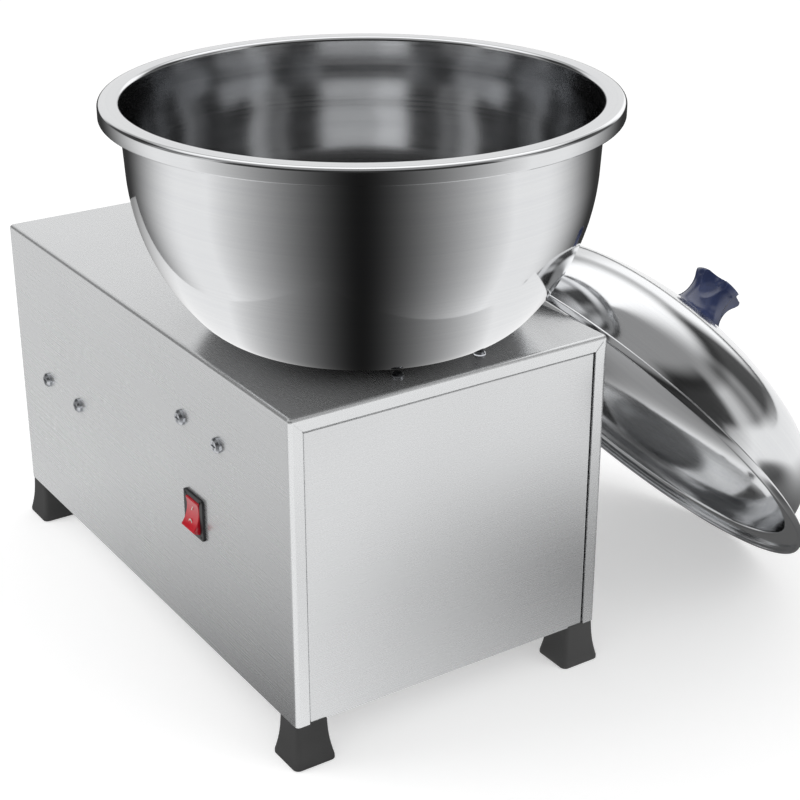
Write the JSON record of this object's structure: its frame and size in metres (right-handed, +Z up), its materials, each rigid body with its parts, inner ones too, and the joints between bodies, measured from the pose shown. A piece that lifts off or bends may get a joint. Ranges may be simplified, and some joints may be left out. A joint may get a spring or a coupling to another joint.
{
  "type": "electric dough mixer",
  "caption": "Box-shaped electric dough mixer with a fixed steel bowl on top, a worm-driven agitator and a domed lid leaning on its side.",
  "frame": {"origin": "middle of the base plate's underside, level with the lower edge of the body and 32 mm above the floor", "axes": "+X towards the end with the inset front panel, -Y towards the long side with the switch, +Z up"},
  "size_m": [0.5215, 0.5265, 0.414],
  "materials": {
    "stainless_sheet": "fine brushed stainless sheet",
    "polished_steel": "mirror-polished spun stainless",
    "machined_steel": "turned and ground steel",
    "zinc_steel": "bright zinc-plated steel",
    "cast_aluminium": "sand-cast aluminium",
    "electrical_steel": "stacked electrical sheet",
    "bronze": "cut bronze",
    "copper_winding": "varnished copper wire",
    "black_rubber": "moulded rubber",
    "black_plastic": "moulded nylon",
    "red_plastic": "moulded gloss plastic",
    "blue_plastic": "moulded phenolic",
    "white_plastic": "moulded polyamide"
  },
  "bodies": {
    "machine": {"housing": "stainless_sheet", "front_panel": "stainless_sheet", "rear_panel": "stainless_sheet", "base_plate": "stainless_sheet", "base_screws": "zinc_steel", "foot_front_left": "black_rubber", "foot_front_right": "black_rubber", "foot_rear_left": "black_rubber", "foot_rear_right": "black_rubber", "foot_screws": "zinc_steel", "bowl": "polished_steel", "bowl_gasket": "black_rubber", "bowl_boss": "cast_aluminium", "bowl_seal": "black_rubber", "bowl_screws": "zinc_steel", "top_stiffener": "zinc_steel", "top_screws": "zinc_steel", "oil_seal": "black_rubber", "gearbox_casing": "cast_aluminium", "gearbox_cover": "cast_aluminium", "cover_screws": "zinc_steel", "worm_end_cap": "cast_aluminium", "spindle_upper_bearing": "machined_steel", "spindle_lower_bearing": "machined_steel", "worm_bearings": "machined_steel", "motor_casing": "cast_aluminium", "motor_front_cap": "cast_aluminium", "motor_rear_cap": "cast_aluminium", "stator_core": "electrical_steel", "windings": "copper_winding", "motor_bearings": "machined_steel", "motor_bracket": "zinc_steel", "bracket_nuts": "zinc_steel", "side_bolts": "zinc_steel", "capacitor": "black_plastic", "capacitor_clip": "zinc_steel", "terminal_block": "white_plastic", "cable_gland": "black_plastic", "gland_nut": "black_plastic", "switch_body": "black_plastic"},
    "drive_spindle": {"spindle": "machined_steel", "agitator": "polished_steel", "agitator_nut": "polished_steel", "worm_wheel": "bronze"},
    "motor_rotor": {"motor_shaft": "machined_steel", "rotor_core": "electrical_steel", "cooling_fan": "black_plastic", "coupling_hubs": "zinc_steel", "coupling_spider": "black_rubber", "worm_shaft": "machined_steel"},
    "switch_rocker": {"switch_rocker": "red_plastic"},
    "lid": {"lid": "polished_steel", "lid_knob": "blue_plastic", "knob_screw": "zinc_steel"}
  },
  "joints": [
    {"name": "spindle_turn", "type": "hinge", "parent": "machine", "child": "drive_spindle", "pos_m": [0.11, 0, 0.109], "axis": [0, 0, 1], "continuous": true},
    {"name": "motor_turn", "type": "hinge", "parent": "machine", "child": "motor_rotor", "pos_m": [-0.133, -0.052, 0.109], "axis": [1, 0, 0], "continuous": true},
    {"name": "switch_tilt", "type": "hinge", "parent": "machine", "child": "switch_rocker", "pos_m": [0.088, -0.1235, 0.1], "axis": [1, 0, 0], "range_deg": [0, 24]},
    {"name": "lid_lift", "type": "slide", "parent": "machine", "child": "lid", "axis": [0, 0.7659, 0.6429], "range_m": [0, 0.25]}
  ],
  "couplings": [
    {"joint": "motor_turn", "follows": "spindle_turn", "ratio": 26}
  ]
}
